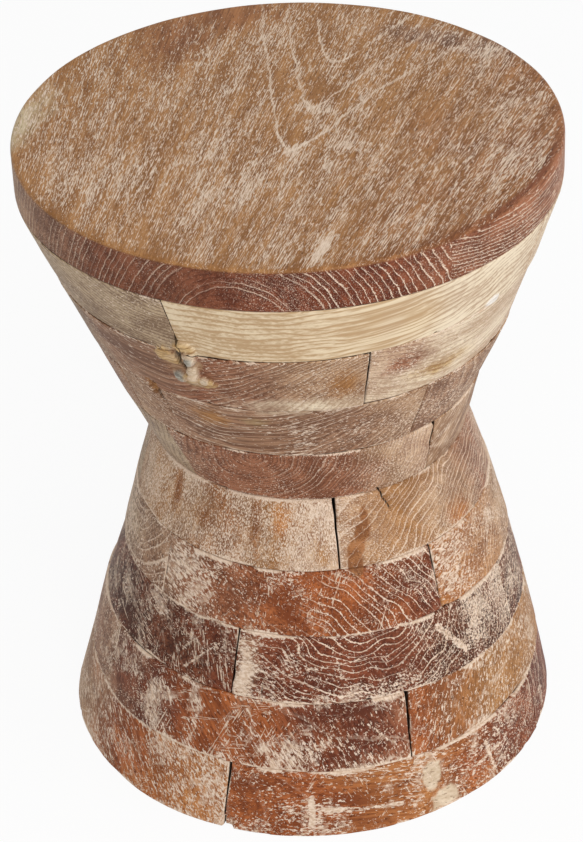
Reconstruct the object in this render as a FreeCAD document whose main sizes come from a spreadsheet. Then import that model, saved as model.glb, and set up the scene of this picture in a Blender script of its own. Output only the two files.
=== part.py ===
import FreeCAD, Part
import math
import os
import Sketcher

# Hourglass accent table of reclaimed teak, in millimetres.
# A round top of two edge-glued boards lies on nine glued rings. Each ring is four blocks that meet at
# radial joints. A block's outer face is turned to the hourglass outline, and its inner face is left flat
# from the saw, so the middle of the table is a hollow that is open underneath. Hidden hardwood dowels pin
# the top to the first ring, and each ring to the next.
# +Z is up. The origin is on the floor, at the middle of the base. The front of the table faces -Y.

# Driving dimensions. Lengths are in millimetres and turns in degrees.
SIZES = {
    "top_diameter": 356.0,
    "top_thickness": 29.5,
    "top_edge_round": 2.5,
    "top_grain_turn": 67.0,
    "side_board_width": 31.0,
    "waist_diameter": 217.0,
    "base_diameter": 349.0,
    "ring_height": 47.5,
    "block_thickness": 62.0,
    "joint_gap": 0.6,
    "dowel_diameter": 10.0,
    "dowel_length": 36.0,
    "dowel_clearance": 0.2,
    "dowel_end_room": 1.0,
    "dowel_seam_room": 16.0,
}

# Turn of each ring's first joint about the axis, from the top ring to the bottom one. The rings narrow
# down to the waist and then widen down to the base. Neighbouring rings turn apart, as bricks are laid.
UPPER_RING_TURNS = [63.0, 15.5, 34.5, 44.5]
LOWER_RING_TURNS = [7.0, 37.5, 66.0, 23.0, 67.5]

BLOCK_LETTERS = "abcd"
BLOCK_SPAN = 360.0 / len(BLOCK_LETTERS)
UPPER_RINGS = len(UPPER_RING_TURNS)
RINGS = UPPER_RINGS + len(LOWER_RING_TURNS)

document = FreeCAD.newDocument("accent_table")
sheet = document.addObject("Spreadsheet::Sheet", "Sizes")
sub_parts = []


def fill_sheet():
    """Writes each driving dimension to its own cell, with its name as the alias."""
    values = dict(SIZES)
    for ring, turn in enumerate(UPPER_RING_TURNS + LOWER_RING_TURNS, start=1):
        values[f"ring_{ring}_turn"] = turn
    for row, (name, value) in enumerate(values.items(), start=1):
        sheet.set(f"A{row}", name)
        sheet.set(f"B{row}", str(value))
        sheet.setAlias(f"B{row}", name)
    document.recompute()


# Expressions for the places that several pieces share


def size(name):
    """The expression that reads one driving dimension."""
    return f"Sizes.{name}"


def level_radius(level):
    """Outer radius at a level. Level 0 is the top of ring 1, and each ring ends at the level of its number."""
    if level <= UPPER_RINGS:
        start, end, share = "top_diameter", "waist_diameter", level / UPPER_RINGS
    else:
        start, end, share = "waist_diameter", "base_diameter", (level - UPPER_RINGS) / (RINGS - UPPER_RINGS)
    return f"({size(start)} + ({size(end)} - {size(start)}) * {share}) / 2"


def level_height(level):
    """Height of a level above the floor."""
    return f"{size('ring_height')} * {RINGS - level}"


def narrow_radius(ring):
    """Outer radius at a ring's narrower end, which is the one nearer to the waist."""
    return level_radius(ring if ring <= UPPER_RINGS else ring - 1)


def wide_radius(ring):
    """Outer radius at a ring's wider end."""
    return level_radius(ring - 1 if ring <= UPPER_RINGS else ring)


def inner_face(ring):
    """Distance of a block's flat inner face from the axis: one thickness inside the ring's narrower end."""
    return f"({narrow_radius(ring)} - {size('block_thickness')})"


def block_angle(ring):
    """Angle that a block spans, less the gap that its joint leaves at the ring's wider end."""
    return f"{BLOCK_SPAN} deg - {size('joint_gap')} / ({wide_radius(ring)}) * 180 deg / pi"


def top_seam():
    """Distance of the seam between the two boards of the top from the axis."""
    return f"({size('top_diameter')} / 2 - {size('side_board_width')})"


def dowel_turn(level):
    """Angle from the middle of the block above a level to the dowel under it.

    The dowel stands midway along the longer stretch of that block that lies on one block of the ring
    below, which keeps it clear of the joints of both rings. Seen from the block below, the angle is the
    same the other way. The top's dowels stand at the middle of the blocks of ring 1.
    """
    if level == 0:
        return "0 deg"
    stagger = f"mod({size(f'ring_{level + 1}_turn')} - {size(f'ring_{level}_turn')} + 360; {BLOCK_SPAN})"
    return f"({stagger} >= {BLOCK_SPAN / 2} ? {stagger} / 2 - {BLOCK_SPAN / 2} : {stagger} / 2) * 1 deg"


def dowel_radius(level):
    """Distance of a level's dowels from the axis: half a block's thickness inside the outline.

    The top's dowels stay on its main board, clear of the seam.
    """
    if level == 0:
        return f"({top_seam()} - {size('dowel_seam_room')})"
    return f"({level_radius(level)} - {size('block_thickness')} / 2)"


HOLE_RADIUS = f"({size('dowel_diameter')} + {size('dowel_clearance')}) / 2"
HOLE_DEPTH = f"{size('dowel_length')} / 2 + {size('dowel_end_room')}"


# Sketches and features


def new_body(label):
    """An empty body whose label names its file."""
    body = document.addObject("PartDesign::Body", label)
    body.Label = label
    sub_parts.append(body)
    return body


def origin_feature(body, role):
    """One of the body's origin planes or axes, such as XY_Plane or Z_Axis."""
    return next(feature for feature in body.Origin.OriginFeatures if feature.Role == role)


def new_sketch(body, name, plane):
    """An empty sketch on one of the body's origin planes."""
    sketch = body.newObject("Sketcher::SketchObject", name)
    sketch.AttachmentSupport = (origin_feature(body, plane), [""])
    sketch.MapMode = "FlatFace"
    return sketch


def drive(sketch, kind, geometry, drawn, expression):
    """Adds a dimension with the value it is drawn at, and binds it to an expression."""
    index = sketch.addConstraint(Sketcher.Constraint(kind, *geometry, drawn))
    sketch.setExpression(f"Constraints[{index}]", expression)


def place_point(sketch, geometry, point, across, up):
    """Holds a point at bound distances from the sketch's origin."""
    drawn = sketch.getPoint(geometry, point)
    drive(sketch, "DistanceX", (-1, 1, geometry, point), drawn.x, across)
    drive(sketch, "DistanceY", (-1, 1, geometry, point), drawn.y, up)


def outline(sketch, corners):
    """Draws a closed outline of straight edges. Each corner is (rough x, rough y, across, up): where it is
    drawn, and the expressions that hold it there."""
    points = [FreeCAD.Vector(x, y, 0) for x, y, _, _ in corners]
    for start, end in zip(points, points[1:] + points[:1]):
        sketch.addGeometry(Part.LineSegment(start, end), False)
    for edge, (_, _, across, up) in enumerate(corners):
        sketch.addConstraint(Sketcher.Constraint("Coincident", edge, 2, (edge + 1) % len(corners), 1))
        place_point(sketch, edge, 1, across, up)


def revolve(body, name, profile, angle):
    """Turns a profile on the XZ plane about the axis, half the angle to each side."""
    turned = body.newObject("PartDesign::Revolution", name)
    turned.Profile = profile
    turned.ReferenceAxis = (origin_feature(body, "Z_Axis"), [""])
    turned.Midplane = True
    turned.setExpression("Angle", angle)
    return turned


def saw_off(body, name, near, far, half_width):
    """Cuts away everything between two distances along X, right through, as one straight saw cut."""
    sketch = new_sketch(body, f"{name}_sketch", "XY_Plane")
    outline(
        sketch,
        [
            (1, -9, near, f"-({half_width})"),
            (9, -9, far, f"-({half_width})"),
            (9, 9, far, half_width),
            (1, 9, near, half_width),
        ],
    )
    cut = body.newObject("PartDesign::Pocket", name)
    cut.Profile = sketch
    cut.Type = "ThroughAll"
    cut.SideType = "Symmetric"
    return cut


def drill(body, name, spots, height, upwards):
    """Drills a blind dowel hole at each spot, an (across, along) pair of expressions, from a bound height."""
    sketch = new_sketch(body, f"{name}_sketch", "XY_Plane")
    sketch.setExpression("AttachmentOffset.Base.z", height)
    for hole, (across, along) in enumerate(spots):
        sketch.addGeometry(Part.Circle(FreeCAD.Vector(9 * hole, 9, 0), FreeCAD.Vector(0, 0, 1), 1), False)
        drive(sketch, "Radius", (hole,), 1.0, HOLE_RADIUS)
        place_point(sketch, hole, 3, across, along)
    cut = body.newObject("PartDesign::Pocket", name)
    cut.Profile = sketch
    cut.Reversed = upwards
    cut.setExpression("Length", HOLE_DEPTH)
    return cut


def polar(radius, angle):
    """The two expressions of a spot at a radius and an angle."""
    return f"{radius} * cos({angle})", f"{radius} * sin({angle})"


def turn_about_axis(piece, angle):
    """Binds a piece's turn about the table's axis."""
    piece.Placement = FreeCAD.Placement(FreeCAD.Vector(), FreeCAD.Rotation(FreeCAD.Vector(0, 0, 1), 1.0))
    piece.setExpression("Placement.Rotation.Angle", angle)


# The pieces


def ring_block(ring, place):
    """One block of a ring: a turned sector, sawn flat inside, with a dowel hole in each end face.

    The block is drawn with its middle along +X and is then turned to its place in the ring.
    """
    body = new_body(f"ring_{ring}_block_{BLOCK_LETTERS[place]}")
    top_radius, bottom_radius, height = level_radius(ring - 1), level_radius(ring), size("ring_height")
    profile = new_sketch(body, f"{body.Label}_profile", "XZ_Plane")
    outline(
        profile,
        [(0, 0, "0", "0"), (9, 0, bottom_radius, "0"), (9, 9, top_radius, height), (0, 9, "0", height)],
    )
    revolve(body, f"{body.Label}_turned", profile, block_angle(ring))
    saw_off(body, f"{body.Label}_inside", "0", inner_face(ring), wide_radius(ring))
    upper_hole = polar(dowel_radius(ring - 1), f"-({dowel_turn(ring - 1)})")
    drill(body, f"{body.Label}_upper_hole", [upper_hole], height, upwards=False)
    if ring < RINGS:
        lower_hole = polar(dowel_radius(ring), dowel_turn(ring))
        drill(body, f"{body.Label}_lower_hole", [lower_hole], "0", upwards=True)
    turn_about_axis(body, f"({size(f'ring_{ring}_turn')} + {BLOCK_SPAN * (place + 0.5)}) * 1 deg")
    body.setExpression("Placement.Base.z", level_height(ring))


def top_board(label, sawn_near, sawn_far, dowel_spots):
    """One board of the round top: a disc with a rounded upper edge, sawn along the seam.

    The board is drawn with the seam across +X and is then turned to the grain's direction.
    """
    body = new_body(label)
    radius, thickness, rounding = f"{size('top_diameter')} / 2", size("top_thickness"), size("top_edge_round")
    profile = new_sketch(body, f"{label}_profile", "XZ_Plane")
    bottom_edge, rim, face, middle, arc = range(5)
    for start, end in (((0, 0), (9, 0)), ((9, 0), (9, 6)), ((7, 8), (0, 8)), ((0, 8), (0, 0))):
        profile.addGeometry(Part.LineSegment(FreeCAD.Vector(*start, 0), FreeCAD.Vector(*end, 0)), False)
    corner = Part.Circle(FreeCAD.Vector(7, 6, 0), FreeCAD.Vector(0, 0, 1), 2)
    profile.addGeometry(Part.ArcOfCircle(corner, 0, math.pi / 2), False)
    for first, first_end, second, second_end in (
        (bottom_edge, 2, rim, 1),
        (face, 2, middle, 1),
        (middle, 2, bottom_edge, 1),
    ):
        profile.addConstraint(Sketcher.Constraint("Coincident", first, first_end, second, second_end))
    profile.addConstraint(Sketcher.Constraint("Tangent", rim, 2, arc, 1))
    profile.addConstraint(Sketcher.Constraint("Tangent", arc, 2, face, 1))
    profile.addConstraint(Sketcher.Constraint("Vertical", rim))
    profile.addConstraint(Sketcher.Constraint("Horizontal", face))
    drive(profile, "Radius", (arc,), 2.0, rounding)
    place_point(profile, bottom_edge, 1, "0", "0")
    place_point(profile, rim, 1, radius, "0")
    place_point(profile, middle, 1, "0", thickness)
    revolve(body, f"{label}_disc", profile, "360 deg")
    saw_off(body, f"{label}_seam", sawn_near, sawn_far, size("top_diameter"))
    if dowel_spots:
        drill(body, f"{label}_dowel_holes", dowel_spots, "0", upwards=True)
    turn_about_axis(body, f"({size('top_grain_turn')} - 90) * 1 deg")
    body.setExpression("Placement.Base.z", level_height(0))


def round_top():
    """The main board, which carries the dowels, and the narrow board glued to its right-hand edge."""
    seam, rim = top_seam(), size("top_diameter")
    spots = [
        polar(
            dowel_radius(0),
            f"(({size('ring_1_turn')} + {BLOCK_SPAN * (place + 0.5)} - {size('top_grain_turn')} + 90) * 1 deg)",
        )
        for place in range(len(BLOCK_LETTERS))
    ]
    top_board("top_main_board", seam, rim, spots)
    top_board("top_side_board", f"-({rim})", seam, [])


def dowel_set(level):
    """The dowels at one level, one under each block above it, as a group of separate pins."""
    upper_ring = max(level, 1)
    pins = []
    for place in range(len(BLOCK_LETTERS)):
        pin = document.addObject("Part::Cylinder", f"dowel_{level}_{BLOCK_LETTERS[place]}")
        pin.setExpression("Radius", f"{size('dowel_diameter')} / 2")
        pin.setExpression("Height", size("dowel_length"))
        middle = f"({size(f'ring_{upper_ring}_turn')} + {BLOCK_SPAN * (place + 0.5)}) * 1 deg"
        across, along = polar(dowel_radius(level), f"({middle} + {dowel_turn(level)})")
        pin.setExpression("Placement.Base.x", across)
        pin.setExpression("Placement.Base.y", along)
        pin.setExpression("Placement.Base.z", f"{level_height(level)} - {size('dowel_length')} / 2")
        pins.append(pin)
    label = "dowels_top_to_ring_1" if level == 0 else f"dowels_ring_{level}_to_{level + 1}"
    group = document.addObject("Part::Compound", label)
    group.Label = label
    group.Links = pins
    sub_parts.append(group)


def check_and_write():
    """Stops on a failed feature or a bad shape, and then writes one file for each sub-part."""
    failed = [item.Label for item in document.Objects if {"Invalid", "Error"} & set(item.State)]
    bad = [part.Label for part in sub_parts if part.Shape.isNull() or not part.Shape.isValid()]
    if failed or bad:
        raise SystemExit(f"failed features: {failed}, bad shapes: {bad}")
    os.makedirs("parts", exist_ok=True)
    for part in sub_parts:
        part.Shape.exportStep(f"parts/{part.Label}.step")


fill_sheet()
round_top()
for ring in range(1, RINGS + 1):
    for place in range(len(BLOCK_LETTERS)):
        ring_block(ring, place)
for level in range(RINGS):
    dowel_set(level)
document.recompute()
check_and_write()
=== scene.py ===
import math
import bpy
import numpy as np
from mathutils import Matrix


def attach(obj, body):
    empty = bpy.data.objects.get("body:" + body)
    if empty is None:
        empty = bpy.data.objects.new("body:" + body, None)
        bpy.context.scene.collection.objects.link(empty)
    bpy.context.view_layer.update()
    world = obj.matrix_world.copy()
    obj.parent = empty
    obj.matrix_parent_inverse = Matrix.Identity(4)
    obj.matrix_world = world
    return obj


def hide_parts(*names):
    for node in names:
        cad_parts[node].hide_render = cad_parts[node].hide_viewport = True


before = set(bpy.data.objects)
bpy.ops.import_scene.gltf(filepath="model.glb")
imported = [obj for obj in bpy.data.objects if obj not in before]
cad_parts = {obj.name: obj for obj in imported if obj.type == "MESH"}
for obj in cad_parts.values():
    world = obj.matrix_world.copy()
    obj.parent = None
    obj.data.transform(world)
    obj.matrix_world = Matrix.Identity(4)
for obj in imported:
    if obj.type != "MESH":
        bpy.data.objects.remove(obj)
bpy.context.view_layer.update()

# Hourglass accent table: rings of limed, reclaimed teak blocks under a round plank top.
# Shapes are worked out in millimetres and go into the meshes in metres. Angles are in degrees about the
# table's axis, anticlockwise from +X as seen from above, so the front of the table is at 270.
METRE = 0.001

TOP_RADIUS = 178.0
TOP_THICKNESS = 29.5
TOP_EDGE_ROUND = 2.5
TOP_GRAIN_TURN = 67.0
SIDE_BOARD_WIDTH = 31.0
TOP_SEAM = TOP_RADIUS - SIDE_BOARD_WIDTH
RING_HEIGHT = 47.5
BLOCK_THICKNESS = 62.0
BLOCK_SPAN = 90.0
RING_TURNS = (63.0, 15.5, 34.5, 44.5, 7.0, 37.5, 66.0, 23.0, 67.5)
RINGS = len(RING_TURNS)
BLOCK_LETTERS = "abcd"
STACK_HEIGHT = RINGS * RING_HEIGHT

# The stack isn't quite true. At each level, from the top of ring 1 down to the floor: the outer radius, how
# far the ring stands to the right of the axis, and how far the seam climbs to the right and to the back.
LEVEL_RADIUS = np.array([178.0, 161.0, 143.0, 123.5, 107.5, 122.0, 134.5, 148.0, 159.5, 171.0])
LEVEL_SHIFT = np.array([-3.5, -0.5, -0.5, -2.0, 4.0, 5.0, 6.0, 3.5, 2.0, -1.0])
LEVEL_CLIMB_RIGHT = np.array([0.0, 3.0, -0.5, -2.5, -1.0, -0.5, -2.5, -4.0, -3.0, 0.0])
LEVEL_CLIMB_BACK = np.array([0.0, -0.5, 1.0, 1.0, 0.0, 1.0, -1.5, -2.0, 0.0, 0.0])
# Half the width of the hairline between two rings
SEAM_HAIRLINE = 0.12
# Lime that lodges along the edges of the blocks: how much, how far from a seam it reaches, how many times
# less it reaches from a joint, and how readily it lodges on each ring, from 0 to 1
LODGED_LIME = 1.1
LODGING_REACH = 1.5
LODGING_AT_ENDS = 2.0
RING_LODGING = (0.4, 0.5, 0.55, 0.6, 0.7, 1.0, 1.0, 1.0, 0.9)
# How dark the late wood of each ring's growth rings is, and how short and how coarse its fibres are
RING_VEINS = (1.0, 0.65, 0.6, 0.7, 0.35, 0.25, 0.25, 0.25, 0.3)
RING_FIBRES = (
    (0.4, 0.75), (0.9, 0.9), (0.9, 0.9), (0.9, 0.9),
    (1.4, 1.5), (1.5, 0.7), (1.5, 0.7), (1.5, 0.7), (1.4, 0.7),
)

# Tones of the bare wood, each the pale and the dark of its figure, in screen colours
TONES = {
    "honey": ((178, 129, 81), (140, 95, 55)),
    "cinnamon": ((168, 114, 72), (122, 76, 45)),
    "sap": ((208, 190, 156), (170, 146, 108)),
    "blond": ((228, 208, 176), (187, 155, 117)),
    "straw": ((212, 180, 130), (152, 114, 70)),
    "cream": ((230, 213, 186), (184, 156, 128)),
    "tan": ((190, 155, 122), (138, 102, 74)),
    "rose": ((206, 174, 144), (152, 114, 90)),
    "ash": ((184, 160, 130), (126, 100, 77)),
    "olive": ((172, 142, 106), (118, 90, 62)),
    "plum": ((167, 128, 100), (112, 77, 57)),
    "umber": ((114, 66, 44), (66, 34, 21)),
    "wine": ((134, 82, 58), (90, 50, 34)),
    "mahogany": ((132, 71, 46), (86, 41, 26)),
    "russet": ((160, 106, 77), (108, 64, 43)),
    "rust": ((174, 99, 54), (118, 60, 31)),
    "amber": ((196, 136, 82), (150, 91, 49)),
    # A painted shade, for the knot's crack and hollow and for the shadow beside the chip on ring 3
    "hollow_shade": ((112, 94, 74), (56, 44, 34)),
    "stone": ((186, 180, 166), (122, 116, 106)),
    "filler": ((228, 209, 184), (198, 174, 146)),
    "chalk": ((244, 238, 230), (214, 204, 194)),
}
LIME_THIN = (207, 179, 153)
LIME_THICK = (233, 213, 193)
PIT_SHADE = (168, 148, 138)
# Near-black painted shade for splits and for open seams and joints
PAINTED_GAP_SHADE = (26, 17, 12)
DOWEL_PALE = (214, 186, 146)
DOWEL_DARK = (168, 132, 92)


class Look:
    """How one block was cut and finished.

    tones: the wood's tones from its left-hand end, seen from outside, to its right-hand end.
    lime: how much lime the surface holds: next to none at 0, half of it at about 0.5, all of it above 1.
    figure: how strongly lime draws the growth rings, from 0 to 1. It and lime are one number, or several from
    the left-hand end to the right.
    blots: how readily the lime gathers in ragged blots, from 0 to a little over 1.
    tilt, lean: how steeply the fibres climb along the block, and how far they turn outwards, in degrees.
    heart: a spot on the line of the tree's middle, in mm along, outwards and up from the block's middle.
    year: the width of a growth ring in mm.
    wave: how far the growth rings wander, in mm.
    proud: how far the block stands out of the ring's outline, in mm.
    """

    def __init__(self, tones, lime, figure, blots, tilt, lean, heart, year=4.5, wave=1.0, proud=0.0):
        self.tones = tones.split()
        self.lime = lime
        self.figure = figure
        self.blots = blots
        self.tilt = tilt
        self.lean = lean
        self.heart = heart
        self.year = year
        self.wave = wave
        self.proud = proud


# Blocks a, b, c and d of each ring, from its turn onwards. The front of the table is mostly c and d.
LOOKS = [
    [
        Look("tan ash cream", 0.15, 0.1, 0.2, 2, 4, (0, -70, -30)),
        Look("ash olive ash ash", 0.2, 0.3, 0.1, -4, 6, (0, -40, 140), 3.0, proud=0.1),
        Look("blond blond blond cream cream", (-0.1, -0.3, -0.3, -0.2, -0.1), 0.1, 0.0, 8, 2,
             (-20, -30, -150), 5.0, 3.4, -0.2),
        Look("cream cream tan", 0.2, 0.1, 0.1, 3, 5, (0, -60, 40)),
    ],
    [
        Look("plum tan", 0.2, 0.2, 0.3, 2, 4, (0, -50, 20)),
        Look("plum ash", 0.18, 0.1, 0.3, -3, 5, (0, -60, -40), proud=0.8),
        Look("ash plum plum russet plum tan", (0.18, 0.2, 0.2, 0.16, 0.2), (0.2, 0.2, 0.3, 0.5, 0.6),
             0.1, -5, 7, (20, -60, -30), 2.8, 1.6, 0.6),
        Look("rose cream cream rose rose", (0.2, 0.26, 0.26, 0.3), 0.3, 0.3, 8, 6, (0, -40, -60), 3.6,
             1.4, -1.0),
    ],
    [
        Look("tan umber", 0.2, 0.2, 0.3, 3, 3, (0, -60, 30)),
        Look("ash plum", 0.2, 0.1, 0.2, -3, 6, (0, -70, 10)),
        Look("tan plum plum plum tan", (0.24, 0.24, 0.28, 0.24), (0.3, 0.4, 0.5, 0.4), 0.15, 3, 6,
             (0, -50, -40), 3.2, 2.4),
        Look("plum tan ash", 0.24, 0.3, 0.2, 3, 5, (0, -90, 50), 3.0, proud=-0.5),
    ],
    [
        Look("plum tan", 0.2, 0.1, 0.3, 3, 4, (0, -60, -20)),
        Look("plum ash", 0.2, 0.1, 0.2, -4, 5, (0, -80, 20)),
        Look("plum russet russet russet tan rose", (0.2, 0.14, 0.14, 0.24, 0.34),
             (0.1, 0.2, 0.3, 0.5, 0.8), 0.15, 10, 70, (-40, 20, 18), 2.9, 2.4, 0.3),
        Look("tan plum", 0.3, 0.4, 0.3, 60, 30, (0, -60, 30), 4.0),
    ],
    [
        Look("amber tan", 0.4, 0.2, 0.6, 3, 5, (0, -60, 20)),
        Look("tan plum ash", 0.35, 0.2, 0.5, 75, 5, (0, -60, -20)),
        Look("tan tan honey tan cinnamon tan honey rose",
             (0.4, 0.48, 0.44, 0.54, 0.42, 0.58, 0.46, 0.62, 0.5), 0.1, 0.35, 86, 6, (-120, -60, 0),
             6.0, 1.2, 0.3),
        Look("rose honey tan russet rose", (0.5, 0.24, 0.28, 0.34), (0.5, 1.0, 1.0, 1.0), 0.3, 20, 72,
             (64, 31, -112), 4.0, 3.4, 0.0),
    ],
    [
        Look("rust russet", 0.3, 0.3, 0.8, 4, 5, (0, -60, 20)),
        Look("ash ash plum", (0.32, 0.34, 0.38), 0.6, 0.5, 78, 30, (20, -30, 10), 4.5, 2.0, 0.4),
        Look("plum russet rust rust mahogany", (0.34, 0.26, 0.2, 0.2, 0.16), (0.1, 0.1, 0.3, 0.8, 1.0),
             0.8, -34, 56, (-80, 31, -110), 4.8, 3.0, 0.8),
        Look("amber tan honey", (0.28, 0.34, 0.3), 0.7, 0.7, 40, 56, (60, 31, -70), 3.8, 3.0, 0.2),
    ],
    [
        Look("russet umber", 0.3, 0.4, 0.8, 4, 5, (0, -60, 20)),
        Look("plum umber umber mahogany", (0.24, 0.12, 0.06, 0.1), 0.1, 1.2, 42, 8, (0, -70, -60), 4.0,
             1.0, -0.6),
        Look("mahogany mahogany mahogany umber umber", (0.3, 0.18, 0.24, 0.46),
             (0.8, 1.0, 0.8, 1.0, 1.0), 0.7, 6, 62, (-26, 0, 40), 4.6, 6.0, 0.4),
        Look("umber russet", 0.3, 0.4, 0.8, 4, 5, (0, -60, 20)),
    ],
    [
        Look("rust umber", 0.3, 0.3, 0.8, 4, 5, (0, -50, 20)),
        Look("mahogany plum", 0.3, 0.2, 0.9, 70, 10, (0, -60, -20)),
        Look("plum mahogany rust rust mahogany russet", (0.24, 0.28, 0.28, 0.28, 0.32),
             (0.1, 0.1, 0.1, 0.5), 0.9, -56, 10, (0, -70, -50), 5.0, 2.0, 0.7),
        Look("rust honey honey russet", 0.34, 0.15, 0.7, 70, 10, (0, -50, 20), 4.0, 1.6, 0.2),
    ],
    [
        Look("tan rust", 0.3, 0.3, 0.8, 4, 5, (0, -60, 20)),
        Look("tan tan rust amber", (0.34, 0.38, 0.4), 0.2, 0.7, -38, 8, (0, -60, 80), 5.0, 1.2),
        Look("rust rust amber rust mahogany", (0.3, 0.24, 0.3, 0.24), (0.2, 0.1, 0.1, 0.4), 0.8, -8, 8,
             (0, -60, -50), 5.0, 1.6, 0.4),
        Look("mahogany mahogany rust", 0.14, 0.4, 0.9, 12, 8, (0, -60, 20)),
    ],
]

# Joints that show on the front: ring and the block to their right, with the width of the open gap in mm
USUAL_GAP = 0.4
OPEN_JOINTS = {
    (1, "c"): 0.1,
    (2, "d"): 1.4,
    (4, "d"): 1.6,
    (5, "d"): 1.6,
    (6, "d"): 1.0,
    (7, "c"): 1.3,
    (8, "d"): 1.9,
    (9, "c"): 1.1,
}


class Patch:
    """A spot where the wood, its lime or its surface differs: a knot, a filler, a chip or a smudge.

    place: its middle, as angle and height on the rings, or across and along on the top.
    reach: its half-widths in mm.
    tone: the tone it turns to, or None to keep the wood's.
    lime: how much more lime it holds, or less.
    sunk: how far its surface is sunk, in mm.
    crisp: whether it has a border, or fades out.
    """

    def __init__(self, place, reach, tone=None, lime=0.0, sunk=0.0, crisp=False):
        self.place = place
        self.reach = reach
        self.tone = tone
        self.lime = lime
        self.sunk = sunk
        self.crisp = crisp


RING_PATCHES = [
    # The old knot where rings 1 and 2 meet: straw-coloured lobes about a crack, with painted shade in the
    # crack and in a hollow beside it, two grey pebbles, pale filler
    Patch((242.5, 366), (13, 19), "tan", -0.3, 0.8, True),
    Patch((238.4, 374), (10, 8), "straw", -0.5, -2.0, True),
    Patch((244.0, 385), (8, 5), "straw", -0.5, -3.0, True),
    Patch((245.4, 355), (12, 6), "straw", -0.4, -2.0, True),
    Patch((244.0, 350), (9, 2), "olive", -0.4, 0.5, True),
    Patch((241.6, 376), (1.4, 10), "hollow_shade", -0.5, 2.0, True),
    Patch((242.6, 367), (2.4, 4), "hollow_shade", -0.5, 2.0, True),
    Patch((244.4, 376), (5, 6), "filler", -0.4, -2.5, True),
    Patch((244.8, 375), (3.2, 4), "stone", -0.6, -3.0, True),
    Patch((240.4, 356), (5, 6), "stone", -0.6, -2.5, True),
    Patch((244.4, 363), (5, 7), "filler", -0.4, -3.5, True),
    Patch((247.0, 357), (4, 4), "filler", -0.2, -2.0, True),
    # The chip at the top of ring 3, with a strip of painted shadow down its right-hand side, and the chalky
    # filler under ring 1 on the right
    Patch((227.8, 330), (3.4, 9), "honey", -0.4, 2.5, True),
    Patch((229.8, 329), (1.8, 9), "hollow_shade", -0.5, 5.0, True),
    Patch((318.6, 386), (7, 4), "chalk", -0.6, -0.6, True),
    # Fillers on ring 9, and the notch it has at the floor
    Patch((298.0, 28), (9, 11), "filler", -0.5, -0.2, True),
    Patch((301.0, 8), (13, 9), "filler", -0.5, -0.2, True),
    Patch((248.2, 4), (5, 5), None, 0.2, 3.0, True),
    # Streaks and smudges of other wood
    Patch((272.0, 337), (50, 9), "cream", -0.1),
    Patch((295.0, 364), (22, 11), "russet", 0.1),
    Patch((307.0, 347), (26, 8), "straw", -0.1),
    Patch((280.0, 357), (12, 14), "honey", -0.1),
    Patch((258.0, 320), (10, 5), "olive", -0.1),
    Patch((245.0, 318), (16, 8), "honey", -0.1),
    Patch((282.0, 194), (5, 13), "cinnamon", -0.6, 0.0, True),
    Patch((284.6, 206), (4, 12), "cinnamon", -0.6, 0.0, True),
    Patch((287.0, 217), (3, 10), "cinnamon", -0.4, 0.0, True),
    Patch((324.0, 194), (16, 14), "amber", -0.1),
    Patch((217.0, 224), (6, 20), "cinnamon", -0.3),
    Patch((232.0, 212), (9, 12), "cinnamon", -0.15),
    Patch((250.0, 217), (5, 28), "cinnamon", -0.2),
    Patch((259.0, 222), (9, 16), "amber", -0.1),
    Patch((272.0, 200), (7, 10), "honey", -0.1),
    # Where lime lies thick, or was rubbed away
    Patch((227.0, 165), (24, 24), None, 0.2),
    Patch((252.0, 160), (34, 12), None, -0.2),
    Patch((249.5, 118), (9, 30), "plum", 0.45),
    Patch((281.0, 103), (50, 9), None, 0.3),
    Patch((266.0, 124), (22, 16), None, 0.2),
    Patch((318.0, 116), (16, 18), None, 0.12),
    Patch((224.0, 74), (10, 30), None, 0.22),
    Patch((236.0, 72), (8, 30), None, 0.25),
    Patch((263.0, 60), (22, 16), None, 0.25),
    Patch((284.0, 66), (34, 18), "mahogany", -0.05),
    Patch((230.0, 116), (30, 20), "umber", -0.2),
    Patch((322.0, 22), (32, 22), "mahogany", 0.1),
    Patch((270.0, 20), (22, 8), None, 0.15),
]

TOP_PATCHES = [
    # Lime lying thick
    Patch((-12, -102), (7, 30), None, 0.18),
    Patch((9, -92), (6, 30), None, 0.18),
    Patch((77, -135), (4, 20), None, 0.7),
    Patch((42, -8), (12, 16), None, 0.12),
    Patch((-86, 86), (8, 36), None, 0.12),
    Patch((-58, 114), (8, 32), None, 0.12),
    Patch((-80, -96), (40, 44), None, 0.14),
    Patch((-122, 50), (30, 36), None, 0.06),
    Patch((118, -85), (14, 34), None, 0.12),
    Patch((156, -2), (16, 50), None, 0.12),
    # Lime gathered at the tips of the Vs, and the bare wood inside them
    Patch((13, -31), (15, 7), None, 0.2),
    Patch((6, 25), (18, 7), None, 0.2),
    Patch((12, -10), (9, 12), "honey", -0.3),
    Patch((5, 50), (14, 16), "honey", -0.3),
    # Rubbed nearly bare
    Patch((-118, 92), (34, 60), "cinnamon", -0.2),
    Patch((-92, 138), (34, 32), "cinnamon", -0.22),
    Patch((70, 50), (34, 70), None, -0.14),
    # Sapwood on the left and a knotty, purple run at the back
    Patch((-166, -60), (16, 64), "sap", 0.1),
    Patch((48, 145), (46, 16), "plum", -0.05),
    Patch((88, 140), (30, 16), "plum", 0.15),
]
# The worn edge of the top on its right-hand side: where its middle lies, how far it spreads round the rim
# and how much it widens the rounding
WORN_EDGE_TURN = 328.0
WORN_EDGE_SPREAD = 26.0
WORN_EDGE_ROUND = 5.5

# Splits in the blocks: the angles and heights that each runs between, and its width in mm
SPLITS = [
    ((229.8, 334.0), (231.0, 310.0), 0.5),
    ((293.0, 239.0), (296.8, 222.0), 0.9),
    ((277.6, 96.0), (282.0, 112.0), 0.35),
    ((254.0, 119.0), (254.4, 97.0), 0.4),
]
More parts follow.
